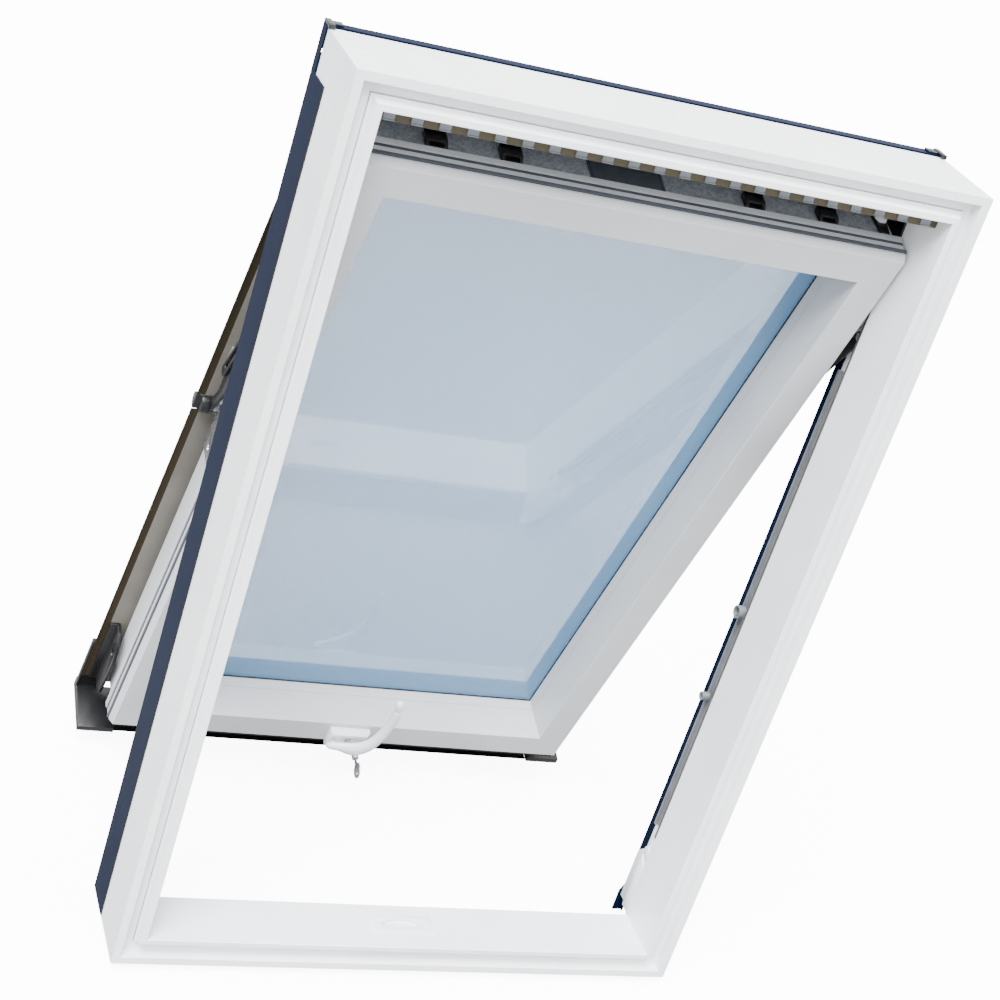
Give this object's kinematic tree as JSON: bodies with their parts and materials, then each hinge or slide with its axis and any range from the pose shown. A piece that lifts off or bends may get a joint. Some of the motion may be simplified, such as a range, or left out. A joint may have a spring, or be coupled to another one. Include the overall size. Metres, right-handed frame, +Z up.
{
  "type": "roof window",
  "caption": "Top-hung and centre-pivot roof window: white plastic frame, glazed sash, dark sheet cladding, lift arms, stays and a lockable lever handle at the bottom.",
  "frame": {"origin": "centre of the bottom face of the fixed frame", "axes": "+Z up along the jambs, +Y to the outside through the frame, +X to the right seen from the room"},
  "size_m": [0.783, 0.542, 1.1945],
  "materials": {
    "white_plastic": "smooth white satin",
    "handle_white": "white powder coat",
    "blue_sheet": "slate blue lacquer, satin",
    "black_rubber": "matt",
    "black_plastic": "semi-gloss",
    "black_steel": "black coated",
    "zinc_steel": "galvanised, grainy",
    "bright_steel": "bright",
    "brown_plastic": "matt",
    "grey_plastic": "matt",
    "glass": "clear",
    "spacer": "matt"
  },
  "bodies": {
    "frame": {"frame": "white_plastic", "frame_steel": "zinc_steel", "frame_seal": "black_rubber", "jamb_cladding_left": "blue_sheet", "jamb_cladding_right": "blue_sheet", "head_cladding": "blue_sheet", "sill_cladding": "blue_sheet", "head_end_caps": "black_plastic", "cladding_seals": "black_rubber", "hinge_hood": "blue_sheet", "vent_strip": "brown_plastic", "vent_tabs": "grey_plastic", "jamb_rails": "zinc_steel", "rail_hooks": "zinc_steel", "corner_blocks": "white_plastic", "hinge_brackets": "black_steel", "hinge_pins": "bright_steel", "stay_pins": "bright_steel", "strike_plate": "white_plastic"},
    "lift_arms": {"lift_arm_left": "black_steel", "lift_arm_right": "black_steel", "arm_cover_left": "blue_sheet", "arm_cover_right": "blue_sheet", "pivot_caps": "black_steel"},
    "stay_left": {"stay_left": "black_steel"},
    "stay_right": {"stay_right": "black_steel"},
    "sash": {"sash": "white_plastic", "sash_steel": "zinc_steel", "glazing_beads": "white_plastic", "glazing_gasket_inner": "black_rubber", "inner_pane": "glass", "spacer_bar": "spacer", "outer_pane": "glass", "glazing_gasket_outer": "black_rubber", "sash_seals": "black_rubber", "bottom_seal": "black_rubber", "bottom_brushes": "black_rubber", "top_plate": "zinc_steel", "top_clips": "black_plastic", "top_catches": "black_plastic", "catch_bolts": "handle_white", "label_plate": "zinc_steel", "sash_cover_top": "blue_sheet", "sash_cover_left": "blue_sheet", "sash_cover_right": "blue_sheet", "sash_cover_bottom": "blue_sheet", "corner_cap_left": "black_plastic", "corner_cap_right": "black_plastic", "corner_lugs": "black_plastic", "pivot_brackets": "bright_steel", "pivot_pins": "bright_steel", "handle_rose": "handle_white", "rose_screws": "bright_steel"},
    "handle": {"handle_lever": "handle_white", "lever_tip_cap": "handle_white", "handle_spindle": "bright_steel"},
    "latch": {"latch_bolt": "bright_steel"},
    "key": {"lock_barrel": "bright_steel", "key": "bright_steel"}
  },
  "joints": [
    {"name": "top_hinge", "type": "hinge", "parent": "frame", "child": "lift_arms", "pos_m": [0, 0.1215, 1.094], "axis": [1, 0, 0], "range_deg": [-20.2, 12]},
    {"name": "centre_pivot", "type": "hinge", "parent": "lift_arms", "child": "sash", "pos_m": [0, 0.2502, 0.63416], "axis": [1, 0, 0], "range_deg": [0, 160]},
    {"name": "stay_left_turn", "type": "hinge", "parent": "frame", "child": "stay_left", "pos_m": [-0.361, 0.0405, 0.945], "axis": [1, 0, 0], "range_deg": [-28.5, 17.2]},
    {"name": "stay_right_turn", "type": "hinge", "parent": "frame", "child": "stay_right", "pos_m": [0.361, 0.0405, 0.945], "axis": [1, 0, 0], "range_deg": [-28.5, 17.2]},
    {"name": "handle_turn", "type": "hinge", "parent": "sash", "child": "handle", "pos_m": [0, 0.33629, 0.07872], "axis": [0, -0.9385, -0.3453], "range_deg": [0, 90]},
    {"name": "latch_slide", "type": "slide", "parent": "sash", "child": "latch", "axis": [0, 0.3453, -0.9385], "range_m": [0, 0.0121]},
    {"name": "key_turn", "type": "hinge", "parent": "handle", "child": "key", "pos_m": [0.009, 0.31855, 0.069], "axis": [0, -0.9385, -0.3453], "range_deg": [0, 90]}
  ],
  "couplings": [
    {"joint": "stay_left_turn", "follows": "top_hinge", "ratio": 1.38},
    {"joint": "stay_right_turn", "follows": "top_hinge", "ratio": 1.38},
    {"joint": "latch_slide", "follows": "handle_turn", "m_per_rad": 0.00763}
  ]
}
